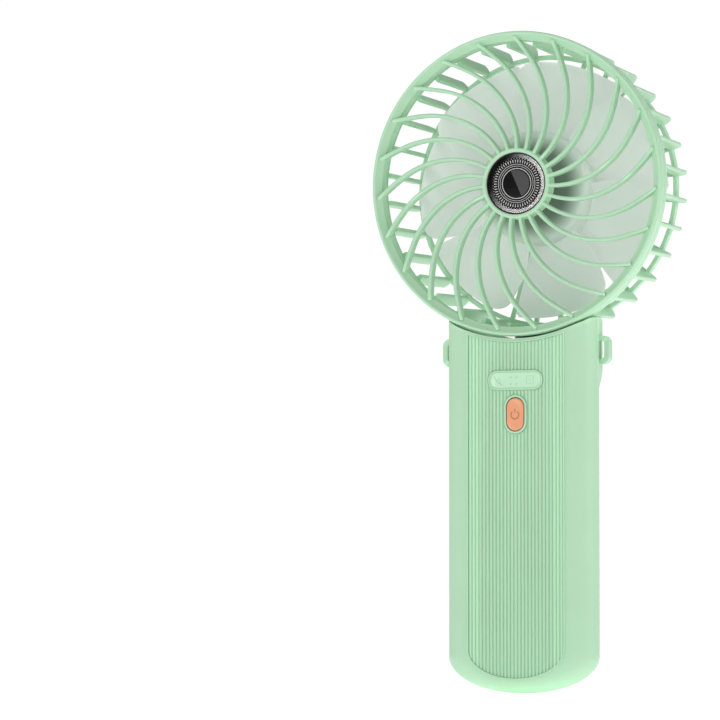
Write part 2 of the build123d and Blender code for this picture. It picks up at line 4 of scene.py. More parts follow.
import bpy
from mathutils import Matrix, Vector


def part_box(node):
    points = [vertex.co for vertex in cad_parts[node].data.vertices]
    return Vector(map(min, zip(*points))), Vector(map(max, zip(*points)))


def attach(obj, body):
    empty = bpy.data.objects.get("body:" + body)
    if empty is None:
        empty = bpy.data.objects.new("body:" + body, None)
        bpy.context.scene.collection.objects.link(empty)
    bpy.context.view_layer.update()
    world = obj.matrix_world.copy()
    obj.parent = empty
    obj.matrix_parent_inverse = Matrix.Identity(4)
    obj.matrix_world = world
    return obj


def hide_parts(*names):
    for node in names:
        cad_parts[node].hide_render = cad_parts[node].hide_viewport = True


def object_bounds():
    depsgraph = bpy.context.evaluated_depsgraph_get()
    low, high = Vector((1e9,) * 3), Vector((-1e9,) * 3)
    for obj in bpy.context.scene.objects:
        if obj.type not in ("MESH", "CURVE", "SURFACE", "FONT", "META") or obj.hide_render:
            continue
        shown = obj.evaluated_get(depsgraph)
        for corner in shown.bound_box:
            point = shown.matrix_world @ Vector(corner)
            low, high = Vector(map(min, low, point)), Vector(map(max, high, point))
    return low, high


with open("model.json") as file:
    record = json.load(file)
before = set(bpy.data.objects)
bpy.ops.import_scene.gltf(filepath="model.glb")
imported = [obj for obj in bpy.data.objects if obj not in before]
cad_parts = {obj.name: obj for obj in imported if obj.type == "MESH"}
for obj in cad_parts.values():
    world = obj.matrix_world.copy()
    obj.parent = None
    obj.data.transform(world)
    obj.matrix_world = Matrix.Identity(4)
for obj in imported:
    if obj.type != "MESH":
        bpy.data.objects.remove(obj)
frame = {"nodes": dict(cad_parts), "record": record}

cad_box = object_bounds()

# ---------------------------------------------------------------- places taken from the frame
MM = 0.001


def in_mm(length):
    """A length of the frame in millimetres, to the nearest micrometre."""
    return round(length / MM, 3)


grille_low, grille_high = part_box("front_grille")
FRONT_Y = grille_low.y                                   # front plane of the grille and the handle
HEAD_Z = (grille_low.z + grille_high.z) / 2
pin_low, pin_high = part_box("hinge_pin")
HINGE_DEPTH = in_mm((pin_low.y + pin_high.y) / 2 - FRONT_Y)
HINGE_Z = (pin_low.z + pin_high.z) / 2


def disc(node):
    """The radius of a node round the head's axis and the depths of its front and back, in millimetres."""
    low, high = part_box(node)
    return in_mm(high.x), in_mm(low.y - FRONT_Y), in_mm(high.y - FRONT_Y)


RING_R, _, GRILLE_END = disc("front_grille")
_, _, CAGE_END = disc("rear_cage")
BEZEL_R, BEZEL_FRONT, BADGE_END = disc("badge_bezel")
PLATE_R, PLATE_FRONT, _ = disc("badge_plate")
LENS_R, LENS_FRONT, LENS_END = disc("badge_lens")
_, CUP_FRONT, _ = disc("impeller")
button_low, button_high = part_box("power_button")
window_low, window_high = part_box("indicator_window")

# ---------------------------------------------------------------- mesh helpers
# Sizes are in millimetres and depths start at the front plane. Points are made in metres.
AXIS_R = 0.02                                            # where a profile stops, just short of the axis
SMOOTH_ANGLE = radians(32.0)                             # edges that turn more than this stay sharp


def head_point(radius, angle, depth, side=0.0):
    """A point about the head axis; the angle runs anticlockwise from +X as seen from the front, and
    'side' is measured across the radius, the same way round."""
    a = radians(angle)
    return ((radius * cos(a) - side * sin(a)) * MM, FRONT_Y + depth * MM,
            HEAD_Z + (radius * sin(a) + side * cos(a)) * MM)


def hinge_point(x, radius, angle):
    """A point about the hinge pin; the angle runs from the rear upwards."""
    a = radians(angle)
    return (x * MM, FRONT_Y + (HINGE_DEPTH + radius * cos(a)) * MM, HINGE_Z + radius * sin(a) * MM)


def rounded(width, height, radius, steps):
    """A rectangle with round corners about the origin, as a list of points."""
    points = []
    for corner, (sx, sy) in enumerate(((1, 1), (-1, 1), (-1, -1), (1, -1))):
        for i in range(steps + 1):
            a = radians(90 * (corner + i / steps))
            points.append((sx * (width / 2 - radius) + radius * cos(a),
                           sy * (height / 2 - radius) + radius * sin(a)))
    return points


def inset(radius, pairs):
    """A profile of (radius, depth) points from pairs of distance inside a radius and depth."""
    return [(radius - inward, depth) for inward, depth in pairs]


class Shape:
    """Collects the points and faces of one piece."""

    def __init__(self):
        self.verts, self.faces = [], []

    def rings(self, rings, closed=False):
        """Skins a row of rings with the same number of points; an open row gets two end caps."""
        start, count, rows = len(self.verts), len(rings[0]), len(rings)
        for ring in rings:
            self.verts += ring
        for row in range(rows if closed else rows - 1):
            a, b = start + row * count, start + (row + 1) % rows * count
            for i in range(count):
                j = (i + 1) % count
                self.faces.append((a + i, a + j, b + j, b + i))
        if not closed:
            last = start + (rows - 1) * count
            self.faces.append(tuple(range(start, start + count))[::-1])
            self.faces.append(tuple(range(last, last + count)))

    def lathe(self, profile, steps=180, start=0.0, sweep=360.0):
        """Turns a closed profile of (radius, depth) points about the head axis."""
        full = sweep == 360.0
        turns = steps if full else steps + 1
        self.rings([[head_point(radius, start + sweep * i / steps, depth) for radius, depth in profile]
                    for i in range(turns)], closed=full)

    def build(self, name, body, material, replaces=()):
        """Makes the object, with its normals outward and its sharp edges kept."""
        mesh = bpy.data.meshes.new(name)
        mesh.from_pydata([Vector(v) for v in self.verts], [], self.faces)
        obj = bpy.data.objects.new(name, mesh)
        bpy.context.scene.collection.objects.link(obj)
        bpy.context.view_layer.objects.active = obj
        obj.select_set(True)
        bpy.ops.object.mode_set(mode="EDIT")
        bpy.ops.mesh.select_all(action="SELECT")
        bpy.ops.mesh.normals_make_consistent(inside=False)
        bpy.ops.object.mode_set(mode="OBJECT")
        obj.select_set(False)
        mesh.shade_smooth()
        mesh.set_sharp_from_angle(angle=SMOOTH_ANGLE)
        mesh.materials.append(material)
        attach(obj, body)
        if replaces:
            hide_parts(*replaces)


# ---------------------------------------------------------------- materials
COLOR_MIX = {"data_type": "RGBA"}


def new_material(name):
    """A new material with its node tree and its shader."""
    material = bpy.data.materials.new(name)
    material.use_nodes = True
    tree = material.node_tree
    return material, tree, tree.nodes["Principled BSDF"]


def add(tree, kind, settings=None, **inputs):
    """A new node with its settings and some inputs; a space in an input's name is written as _."""
    node = tree.nodes.new(kind)
    for name, value in (settings or {}).items():
        setattr(node, name, value)
    for name, value in inputs.items():
        node.inputs[name.replace("_", " ")].default_value = value
    return node


def wire(tree, *wires):
    """Links nodes; each wire is a node, its output, the next node and its input."""
    for source, output, target, socket in wires:
        tree.links.new(source.outputs[output], target.inputs[socket])


def shade(color, factor, offset=0.0):
    """A colour made paler or darker, with its alpha."""
    return tuple(min(1, c * factor + offset) for c in color) + (1,)


def moulded(name, color, roughness=0.42, speckle=0.04, grain=0.2, specular=0.5, edge_highlight_strength=1.0):
    """Moulded plastic: cloudy colour, fine spark-eroded grain and a painted highlight that makes convex edges
    paler.
    """
    material, tree, shader = new_material(name)
    place = add(tree, "ShaderNodeTexCoord")
    clouds = add(tree, "ShaderNodeTexNoise", Scale=45.0, Detail=4.0)
    fine = add(tree, "ShaderNodeTexNoise", Scale=2600.0, Detail=2.0)
    tint = add(tree, "ShaderNodeMix", COLOR_MIX, A=shade(color, 1 - speckle), B=shade(color, 1 + speckle))
    # painted highlight: convex edges, found by their pointiness, are painted paler
    edge_highlight = add(tree, "ShaderNodeMix", COLOR_MIX, B=shade(color, 1.22, 0.03))
    edge = add(tree, "ShaderNodeNewGeometry")
    edge_highlight_map = add(tree, "ShaderNodeMapRange", From_Min=0.52, From_Max=0.62, To_Max=0.8 * edge_highlight_strength)
    rough = add(tree, "ShaderNodeMapRange", To_Min=roughness - 0.05, To_Max=roughness + 0.07)
    bump = add(tree, "ShaderNodeBump", Strength=grain, Distance=0.06 * MM)
    wire(tree, (place, "Object", clouds, "Vector"), (place, "Object", fine, "Vector"),
         (clouds, "Fac", tint, "Factor"), (edge, "Pointiness", edge_highlight_map, "Value"),
         (edge_highlight_map, "Result", edge_highlight, "Factor"), (tint, "Result", edge_highlight, "A"),
         (edge_highlight, "Result", shader, "Base Color"), (clouds, "Fac", rough, "Value"),
         (rough, "Result", shader, "Roughness"), (fine, "Fac", bump, "Height"),
         (bump, "Normal", shader, "Normal"))
    shader.inputs["Specular IOR Level"].default_value = specular
    return material


def metal(name, color, roughness=0.3, scale=1800.0, crystals=0.0):
    """Metal with fine machining marks, or with small crystals that sparkle."""
    material, tree, shader = new_material(name)
    place = add(tree, "ShaderNodeTexCoord")
    marks = add(tree, "ShaderNodeTexNoise", Scale=scale)
    rough = add(tree, "ShaderNodeMapRange", To_Min=roughness - 0.1, To_Max=roughness + 0.12)
    wire(tree, (place, "Object", marks, "Vector"), (marks, "Fac", rough, "Value"),
         (rough, "Result", shader, "Roughness"))
    if crystals:
        cells = add(tree, "ShaderNodeTexVoronoi", Scale=scale)
        bump = add(tree, "ShaderNodeBump", Strength=crystals, Distance=0.4 * MM)
        wire(tree, (place, "Object", cells, "Vector"), (cells, "Distance", bump, "Height"),
             (bump, "Normal", shader, "Normal"))
    shader.inputs["Base Color"].default_value = color + (1,)
    shader.inputs["Metallic"].default_value = 1.0
    return material


def gloss(name, grey, roughness, specular):
    """Smooth glossy black or grey plastic."""
    return moulded(name, (grey, grey, grey), roughness=roughness, grain=0.0, specular=specular, edge_highlight_strength=0.0)


def add_painted_shade(material, low, high, dark, direction=None):
    """Paints shade on a material: its colour fades to a dark one. The measure is the distance from the head's
    axis, or along a direction from it; below 'low' the colour is dark and above 'high' it is as it was
    (metres)."""
    tree = material.node_tree
    place = add(tree, "ShaderNodeTexCoord")
    shift = add(tree, "ShaderNodeVectorMath", {"operation": "SUBTRACT"})
    shift.inputs[1].default_value = (0, 0, HEAD_Z)
    wire(tree, (place, "Object", shift, 0))
    if direction:
        measure = add(tree, "ShaderNodeVectorMath", {"operation": "DOT_PRODUCT"})
        measure.inputs[1].default_value = direction
        wire(tree, (shift, "Vector", measure, 0))
    else:
        flat = add(tree, "ShaderNodeVectorMath", {"operation": "MULTIPLY"})
        flat.inputs[1].default_value = (1, 0, 1)
        measure = add(tree, "ShaderNodeVectorMath", {"operation": "LENGTH"})
        wire(tree, (shift, "Vector", flat, 0), (flat, "Vector", measure, 0))
    ramp = add(tree, "ShaderNodeMapRange", {"interpolation_type": "SMOOTHSTEP"}, From_Min=low, From_Max=high)
    blend = add(tree, "ShaderNodeMix", COLOR_MIX, A=dark + (1,))
    wire(tree, (measure, "Value", ramp, "Value"), (ramp, "Result", blend, "Factor"))
    color = tree.nodes["Principled BSDF"].inputs["Base Color"]
    if color.is_linked:
        tree.links.new(color.links[0].from_socket, blend.inputs["B"])
    else:
        blend.inputs["B"].default_value = color.default_value
    tree.links.new(blend.outputs["Result"], color)


MINT = (0.47, 0.735, 0.505)
mint = moulded("mint_plastic", MINT)
mint_cage = moulded("mint_cage_plastic", MINT, roughness=0.40)
mint_window = moulded("mint_window", (0.56, 0.86, 0.61), roughness=0.3, grain=0.05)
mint_icon = moulded("mint_icon", (0.36, 0.62, 0.41), roughness=0.5)
orange = moulded("orange_plastic", (0.87, 0.375, 0.20), roughness=0.45)
orange_dark = moulded("orange_symbol", (0.47, 0.17, 0.08), roughness=0.5)
black_gloss = gloss("black_gloss", 0.008, roughness=0.12, specular=0.3)
lens_dark = gloss("lens_dark", 0.007, roughness=0.14, specular=0.1)
lens_grey = gloss("lens_grey", 0.085, roughness=0.14, specular=0.1)
black_plastic = moulded("black_plastic", (0.03, 0.03, 0.03))
steel = metal("steel", (0.56, 0.56, 0.57))
bright_metal = metal("bright_metal", (0.88, 0.87, 0.87), roughness=0.30)
crystal_metal = metal("crystal_metal", (0.90, 0.87, 0.88), roughness=0.22, scale=2300.0, crystals=1.0)
# painted shade: the crystals darken towards the upper left of the badge, where the rim's shade falls
add_painted_shade(crystal_metal, -8.2 * MM, 5.5 * MM, (0.012, 0.012, 0.012), direction=(0.87, 0, -0.5))
white_plastic = moulded("white_plastic", (0.8, 0.79, 0.75))
board_green = moulded("circuit_board", (0.03, 0.20, 0.08), roughness=0.3)
battery_blue = moulded("battery_wrap", (0.08, 0.25, 0.55), roughness=0.3)
foam = moulded("foam", (0.06, 0.06, 0.06), roughness=0.85, grain=0.8)
copper = metal("copper", (0.72, 0.36, 0.18))
sheath = moulded("wire_sheath", (0.45, 0.02, 0.02))
magnet = moulded("magnet", (0.08, 0.08, 0.09))
clear = moulded("led_epoxy", (0.85, 0.85, 0.80), roughness=0.15)
frosted = moulded("frosted_blades", (0.83, 0.87, 0.84), roughness=0.45, speckle=0.02, grain=0.1, edge_highlight_strength=0.6)
# painted light: the slight emission makes the blades glow paler, standing for light scattered inside the
# frosted plastic
for socket, value in (("Transmission Weight", 0.15), ("IOR", 1.45), ("Emission Color", (0.80, 0.85, 0.81, 1)),
                      ("Emission Strength", 0.10)):
    frosted.node_tree.nodes["Principled BSDF"].inputs[socket].default_value = value
shaded_cup = moulded("frosted_cup", (0.72, 0.79, 0.735), roughness=0.4, speckle=0.05, grain=0.1, edge_highlight_strength=0.0)
# painted shade: the cup darkens towards the hub, standing for the hub's shade and the dark motor behind it
add_painted_shade(shaded_cup, 12.5 * MM, 19.2 * MM, (0.19, 0.24, 0.20))

SLOT_MATERIALS = {
    "mint_shell": mint, "mint_cage": mint_cage, "blade_pc": frosted, "orange_button": orange,
    "window_pc": mint_window, "black_gloss": black_gloss, "badge_metal": bright_metal, "steel": steel,
    "friction_pad": white_plastic, "battery_wrap": battery_blue, "foam": foam,
    "circuit_board": board_green, "black_plastic": black_plastic, "led": clear,
    "wire_sheath": sheath, "copper_coil": copper, "magnet": magnet,
}
for entry in frame["record"]["subparts"]:
    materials = frame["nodes"][entry["node"]].data.materials
    materials.clear()
    materials.append(SLOT_MATERIALS[entry["material_slot"]])
for name in ("strap_loop_left", "strap_loop_right"):
    bevel = frame["nodes"][name].modifiers.new("soft_edges", "BEVEL")
    bevel.width, bevel.segments, bevel.limit_method = 0.5 * MM, 3, "ANGLE"

# ---------------------------------------------------------------- grille
RIB_COUNT, FIRST_RIB, RIB_W, RIB_DEPTH, RIB_EDGE_R, RIB_FRONT, RIB_ROOT = 23, 89.3, 1.3, 3.8, 0.6, 0.25, 0.8
RIB_ARCS = ((27.8, 38.0), (33.0, 26.0), (80.0, 7.5))     # radius and sweep, from the hub outwards
ARC_STEP = 2.5                                           # degrees
HUB_R, HUB_END, HUB_BORE_R = 12.2, 6.2, BEZEL_R + 0.05
# the ring's inner cone, the bead round its front, its outer wall and the spigot that enters the cage
RING_PROFILE = inset(RING_R, (
    (3.3, 1.9), (3.2, 1.65), (1.4, 0.5), (1.25, 0.2), (1.0, 0.03), (0.65, 0.0), (0.35, 0.12), (0.2, 0.4),
    (0.2, 0.95), (0.0, 1.1), (0.0, 2.15), (0.25, 2.35), (2.0, 2.4), (2.0, GRILLE_END), (3.1, GRILLE_END)))
# the hub with its round front edge and a floor behind the badge
HUB_PROFILE = (
    (HUB_BORE_R, 1.2), (HUB_BORE_R + 0.1, 0.55), (HUB_BORE_R + 0.45, 0.2), (HUB_R - 0.65, 0.12),
    (HUB_R - 0.25, 0.3), (HUB_R, 0.8), (HUB_R, HUB_END - 0.3), (HUB_R - 0.3, HUB_END), (AXIS_R, HUB_END),
    (AXIS_R, BADGE_END), (HUB_BORE_R, BADGE_END))


def rib_path():
    """Points along a rib with its heading, in the plane of the grille; the rib starts along +x."""
    x, y, heading = HUB_R, 0.0, 0.0
    path = [(x - RIB_ROOT, y, heading), (x, y, heading)]
    for arc_radius, arc_sweep in RIB_ARCS:
        steps = round(arc_sweep / ARC_STEP)
        turn = radians(arc_sweep) / steps
        for step in range(steps):
            x += arc_radius * turn * cos(heading + turn / 2)
            y += arc_radius * turn * sin(heading + turn / 2)
            heading += turn
            path.append((x, y, heading))
    return path


def make_grille():
    grille = Shape()
    grille.lathe(RING_PROFILE)
    grille.lathe(HUB_PROFILE, steps=96)
    section = rounded(RIB_W, RIB_DEPTH, RIB_EDGE_R, steps=5)
    middle = RIB_FRONT + RIB_DEPTH / 2
    for rib in range(RIB_COUNT):
        angle = FIRST_RIB + rib * 360 / RIB_COUNT
        grille.rings([[head_point(x - sin(heading) * across, angle, middle + deep,
                                  side=y + cos(heading) * across) for across, deep in section]
                      for x, y, heading in rib_path()])
    grille.build("grille", "head", mint_cage, replaces=("front_grille",))


# ---------------------------------------------------------------- badge
TICK_COUNT = 54
TICK = ((7.05, 0.5), (7.4, 1.2), (8.05, 1.7), (8.2, 1.0))   # radius and half width in degrees, outwards
SMALL_TICK = ((8.4, 0.3), (8.55, 1.0), (8.8, 0.8))
FINE_RINGS = ((5.05, 5.3), (5.9, 6.05), (6.55, 6.72))       # inner and outer radius
CRYSTAL_OUT_R, CRYSTAL_IN_R = BEZEL_R - 0.4, 8.9
SUNK, PROUD = PLATE_FRONT + 0.02, PLATE_FRONT - 0.1         # depths of the relief's foot and of its top
LENS_CUT = 114.0                                            # direction of the line between the lens halves


def make_badge():
    plate = Shape()
    plate_end = BADGE_END - 0.05
    plate.lathe([(AXIS_R, PLATE_FRONT), (PLATE_R, PLATE_FRONT), (PLATE_R, plate_end), (AXIS_R, plate_end)],
                steps=72)
    plate.build("badge_ground", "head", black_gloss, replaces=("badge_plate",))
    rim = Shape()
    rim_end, rim_in = BADGE_END - 0.02, PLATE_R + 0.05
    rim.lathe([(BEZEL_R - 0.4, PLATE_FRONT - 0.25), (BEZEL_R - 0.35, BEZEL_FRONT + 0.1),
               (BEZEL_R - 0.15, BEZEL_FRONT), (BEZEL_R, BEZEL_FRONT + 0.1), (BEZEL_R, rim_end),
               (rim_in, rim_end), (rim_in, PROUD)], steps=120)
    rim.build("badge_rim", "head", black_gloss, replaces=("badge_bezel",))
    crystals = Shape()
    crystals.lathe([(CRYSTAL_OUT_R, PLATE_FRONT - 0.6), (CRYSTAL_OUT_R, PLATE_FRONT - 0.2),
                    (CRYSTAL_IN_R, PLATE_FRONT - 0.01), (CRYSTAL_IN_R, PROUD)])
    crystals.build("badge_crystals", "head", crystal_metal, replaces=("badge_plate",))
    make_relief()
    # the round lens in two halves, cut on a slant
    for name, start, material in (("badge_lens_dark", LENS_CUT, lens_dark),
                                  ("badge_lens_grey", LENS_CUT - 180, lens_grey)):
        half = Shape()
        half.lathe([(AXIS_R, LENS_FRONT), (LENS_R - 0.35, LENS_FRONT), (LENS_R - 0.1, LENS_FRONT + 0.08),
                    (LENS_R, LENS_FRONT + 0.3), (LENS_R, LENS_END), (AXIS_R, LENS_END)],
                   steps=48, start=start, sweep=180.0)
        half.build(name, "head", material, replaces=("badge_lens",))


def make_relief():
    """Fine rings and two rows of ticks on the badge, a generic pattern."""
    relief = Shape()
    for inner, outer in FINE_RINGS:
        relief.lathe([(inner, SUNK), (inner, PROUD), (outer, PROUD), (outer, SUNK)], steps=96)
    tick_top = PROUD - 0.03
    for tick in range(TICK_COUNT):
        middle = tick * 360 / TICK_COUNT
        relief.rings([[head_point(radius, middle + part * spread, depth)
                       for part, depth in ((-1, SUNK), (-0.7, tick_top), (0.7, tick_top), (1, SUNK))]
                      for radius, spread in TICK])
        between = middle + 180 / TICK_COUNT
        relief.rings([[head_point(radius, between + part * spread, depth)
                       for part, depth in ((-1, SUNK), (0, PROUD), (1, SUNK))]
                      for radius, spread in SMALL_TICK])
    relief.build("badge_relief", "head", bright_metal, replaces=("badge_plate",))


# ---------------------------------------------------------------- cage
FIN_COUNT, FIN_T, FIN_EDGE_R, FIN_START = 32, 1.5, 0.45, 7.0
FIN_FRONT_R, FIN_REAR_R, FIN_NECK_R = 52.0, 50.9, 49.2   # outer radii; the fins over the neck end lower
BAND_END, SPOKE_FRONT, MOUNT_R = 7.6, 34.4, 20.5
REAR_RING_IN, REAR_RING_OUT, REAR_RING_FRONT = 46.0, 47.5, 33.4
WALL_START, WALL_SWEEP, WALL_IN_R = -98.0, 16.0, 49.0    # closed stretch of the cage over the neck
NECK_HALF_W, NECK_TOP, KNUCKLE_R, BORE_R = 7.4, 10.2, 7.4, 1.55
GROOVE_LEFT, GROOVE_RIGHT, GROOVE_DEPTH, GROOVE_START, GROOVE_STOP = 2.4, 4.9, 2.6, 172, 288
GRIP_HEIGHTS = (-6.2, -5.0, -3.7, -2.4, -1.1, 0.2)       # above the hinge
GRIP_SECTIONS = ((-6.6, 0.12), (-6.3, 0.26), (1.0, 0.26), (1.3, 0.12))   # x and radius along a grip line


def make_cage():
    cage = Shape()
    # band behind the grille, with a groove round it, that takes the grille's spigot
    cage.lathe(inset(RING_R, (
        (1.8, 2.45), (0.3, 2.5), (0.05, 2.75), (0.1, 4.3), (0.3, 4.45), (0.3, 4.8), (0.12, 4.95), (0.22, 7.2),
        (0.6, BAND_END), (3.2, BAND_END), (3.2, 6.95), (1.8, 6.95))))
    cage.lathe([(REAR_RING_IN + 0.2, REAR_RING_FRONT), (REAR_RING_OUT - 0.2, REAR_RING_FRONT),
                (REAR_RING_OUT, REAR_RING_FRONT + 0.2), (REAR_RING_OUT, CAGE_END - 0.3),
                (REAR_RING_OUT - 0.3, CAGE_END), (REAR_RING_IN + 0.2, CAGE_END),
                (REAR_RING_IN, CAGE_END - 0.2), (REAR_RING_IN, REAR_RING_FRONT + 0.2)])
    cage.lathe([(AXIS_R, SPOKE_FRONT), (MOUNT_R - 0.2, SPOKE_FRONT), (MOUNT_R, SPOKE_FRONT + 0.2),
                (MOUNT_R, CAGE_END - 0.2), (MOUNT_R - 0.2, CAGE_END), (AXIS_R, CAGE_END)], steps=96)
    add_fins(cage)
    cage.lathe([(WALL_IN_R + 1.0, 7.3), (FIN_FRONT_R, 7.3), (FIN_FRONT_R - 0.5, 20.0), (FIN_REAR_R, 34.7),
                (FIN_REAR_R - 0.5, CAGE_END - 0.4), (WALL_IN_R + 0.6, CAGE_END), (WALL_IN_R, CAGE_END - 0.4),
                (WALL_IN_R, 32.4)], steps=16, start=WALL_START, sweep=WALL_SWEEP)
    add_neck(cage)
    cage.build("cage", "head", mint_cage, replaces=("rear_cage",))


def add_fins(cage):
    """The fins, each going on round the rear corner as a spoke to the motor mount."""
    for fin in range(FIN_COUNT):
        angle = (fin + 0.5) * 360 / FIN_COUNT
        rear = FIN_NECK_R if abs(angle - 270) < 10 else FIN_REAR_R
        # inner and outer points of the fin, each a radius and a depth, from the band to the mount
        stations = (((47.65, FIN_START), (FIN_FRONT_R, FIN_START)),
                    ((47.2, 20.0), ((FIN_FRONT_R + rear) / 2, 20.5)),
                    ((46.7, 32.6), (rear + 0.03, 33.0)), ((46.6, 33.6), (rear, 34.2)),
                    ((46.5, 34.3), (rear - 0.27, CAGE_END - 1.0)),
                    ((46.0, SPOKE_FRONT), (rear - 1.0, CAGE_END - 0.27)),
                    ((44.5, SPOKE_FRONT), (rear - 2.0, CAGE_END)), ((42.0, SPOKE_FRONT), (44.0, CAGE_END)),
                    ((38.0, SPOKE_FRONT), (38.0, CAGE_END)),
                    ((MOUNT_R - 1.0, SPOKE_FRONT), (MOUNT_R - 1.0, CAGE_END)))
        row = []
        for (r_in, d_in), (r_out, d_out) in stations:
            length = sqrt((r_out - r_in) ** 2 + (d_out - d_in) ** 2)
            ring = []
            for along, side in rounded(length, FIN_T, FIN_EDGE_R, steps=3):
                t = along / length + 0.5
                ring.append(head_point(r_in + (r_out - r_in) * t, angle, d_in + (d_out - d_in) * t, side))
            row.append(ring)
        cage.rings(row)


def add_neck(cage):
    """Neck and knuckle in slices across the hinge, the grooved one smaller at its lower front, and grip
    lines round the front of the knuckle."""
    for x_low, x_high, groove in ((-NECK_HALF_W, GROOVE_LEFT, 0.0), (GROOVE_LEFT, GROOVE_RIGHT, GROOVE_DEPTH),
                                  (GROOVE_RIGHT, NECK_HALF_W, 0.0)):
        loops = []
        for angle in range(0, 360, 5):
            c, s = cos(radians(angle)), sin(radians(angle))
            reach = KNUCKLE_R
            if s > 0:
                reach = min(KNUCKLE_R / max(abs(c), 1e-6), NECK_TOP / s)
            if GROOVE_START <= angle <= GROOVE_STOP:
                reach -= groove
            loops.append([hinge_point(x_low, BORE_R, angle), hinge_point(x_low, reach, angle),
                          hinge_point(x_high, reach, angle), hinge_point(x_high, BORE_R, angle)])
        cage.rings(loops, closed=True)
    for height in GRIP_HEIGHTS:
        depth = HINGE_DEPTH - (sqrt(KNUCKLE_R ** 2 - height ** 2) if height < 0 else KNUCKLE_R)
        cage.rings([[(x * MM, FRONT_Y + (depth + radius * cos(radians(t))) * MM,
                      HINGE_Z + (height + radius * sin(radians(t))) * MM) for t in range(0, 360, 45)]
                    for x, radius in GRIP_SECTIONS])


# ---------------------------------------------------------------- impeller
CUP_R, CUP_END, CUP_HOLE_R = 19.6, 31.5, 1.0
BLADE_COUNT, FIRST_BLADE, BLADE_T, BLADE_ROOT_R, BLADE_R = 7, -1.5, 1.1, CUP_R - 0.7, 44.3
BLADE_ROOT_ARC, BLADE_TIP_ARC, BLADE_BULGE = 56.0, 52.0, 1.6   # degrees
BLADE_FRONT, BLADE_RISE, CAMBER = 23.8, 8.6, 0.9
CORNER_START_R, CORNER_END_R, TIP_RISE = 1.5, 7.0, 0.8
CHORD_STEPS, SPAN_STEPS = 28, 16


def make_cup():
    cup = Shape()
    cup.lathe([(CUP_HOLE_R, CUP_FRONT), (CUP_R - 2.6, CUP_FRONT), (CUP_R - 1.3, CUP_FRONT + 0.4),
               (CUP_R - 0.4, CUP_FRONT + 1.2), (CUP_R, CUP_FRONT + 2.4), (CUP_R, CUP_END - 0.3),
               (CUP_R - 0.2, CUP_END), (CUP_R - 1.2, CUP_END), (CUP_R - 1.4, CUP_END - 0.3),
               (CUP_R - 1.4, CUP_FRONT + 1.8), (CUP_HOLE_R, CUP_FRONT + 1.6)], steps=96)
    cup.build("impeller_cup", "rotor", shaded_cup, replaces=("impeller",))


def corner_loss(distance, radius):
    """How far a round corner pulls an edge in, at a distance from the end of the edge."""
    if distance >= radius:
        return 0.0
    return radius * (1 - sqrt(max(0, 1 - (1 - distance / radius) ** 2)))


def blade_place(u, v, first):
    """Radius, angle and depth on a blade's middle surface: u runs across it and v from root to tip."""
    # the arc is widest in the middle of the span and narrowest at the tip
    arc = (BLADE_ROOT_ARC + BLADE_BULGE * sin(pi * min(1.0, v / 0.85))
           - (BLADE_ROOT_ARC - BLADE_TIP_ARC) * v ** 4)
    tip_length = radians(BLADE_TIP_ARC) * BLADE_R
    tip = (BLADE_R + TIP_RISE * (1 - u) ** 6 - corner_loss((1 - u) * tip_length, CORNER_END_R)
           - corner_loss(u * tip_length, CORNER_START_R))
    camber = CAMBER * sin(pi * u) * (0.4 + 0.6 * v)
    depth = BLADE_FRONT + BLADE_RISE * (1 - arc * u / BLADE_ROOT_ARC) - camber
    return BLADE_ROOT_R + (tip - BLADE_ROOT_R) * v, first + arc * u, depth


def add_blade(shape, first):
    """A blade's front and rear skins and the strip of faces round its edge."""
    start, wide = len(shape.verts), SPAN_STEPS + 1
    places = [blade_place(i / CHORD_STEPS, j / SPAN_STEPS, first)
              for i in range(CHORD_STEPS + 1) for j in range(wide)]
    count = len(places)
    for offset in (-BLADE_T / 2, BLADE_T / 2):
        shape.verts += [head_point(radius, angle, depth + offset) for radius, angle, depth in places]
    for i in range(CHORD_STEPS):
        for j in range(SPAN_STEPS):
            a = start + i * wide + j
            b = a + count
            shape.faces.append((a, a + 1, a + wide + 1, a + wide))
            shape.faces.append((b + wide, b + wide + 1, b + 1, b))
    rim = ([i * wide for i in range(CHORD_STEPS)]
           + [CHORD_STEPS * wide + j for j in range(SPAN_STEPS)]
           + [i * wide + SPAN_STEPS for i in range(CHORD_STEPS, 0, -1)]
           + list(range(SPAN_STEPS, 0, -1)))
    for a, b in zip(rim, rim[1:] + rim[:1]):
        shape.faces.append((start + a, start + b, start + b + count, start + a + count))


def make_blades():
    blades = Shape()
    for blade in range(BLADE_COUNT):
        add_blade(blades, FIRST_BLADE + blade * 360 / BLADE_COUNT)
    blades.build("impeller_blades", "rotor", frosted, replaces=("impeller",))


# ---------------------------------------------------------------- marks on the button and the window
WINDOW_W, WINDOW_H, GAP_SHADE_INSET, GAP_SHADE_W = 18.8, 5.7, 0.12, 0.42
SYMBOL_R, SYMBOL_W, SYMBOL_DROP = 1.42, 0.5, 0.2
ICON_BOLD, ICON_MEDIUM, ICON_THIN, ICON_FINE = 0.5, 0.4, 0.34, 0.22   # line widths
# across a line, as a part of its width, and behind the surface, in millimetres
STROKE_SECTION = ((-0.5, 0.03), (-0.42, -0.04), (0.42, -0.04), (0.5, 0.03))


def stroke(shape, points, width, surface, middle):
    """A thin raised line through points (x, z) about a middle, on a front surface (y)."""
    row = []
    for k, (x, z) in enumerate(points):
        before, after = points[max(k - 1, 0)], points[min(k + 1, len(points) - 1)]
        along = Vector((after[0] - before[0], after[1] - before[1])).normalized()
        row.append([((x - along.y * part * width) * MM, surface + behind * MM,
                     middle + (z + along.x * part * width) * MM) for part, behind in STROKE_SECTION])
    shape.rings(row)


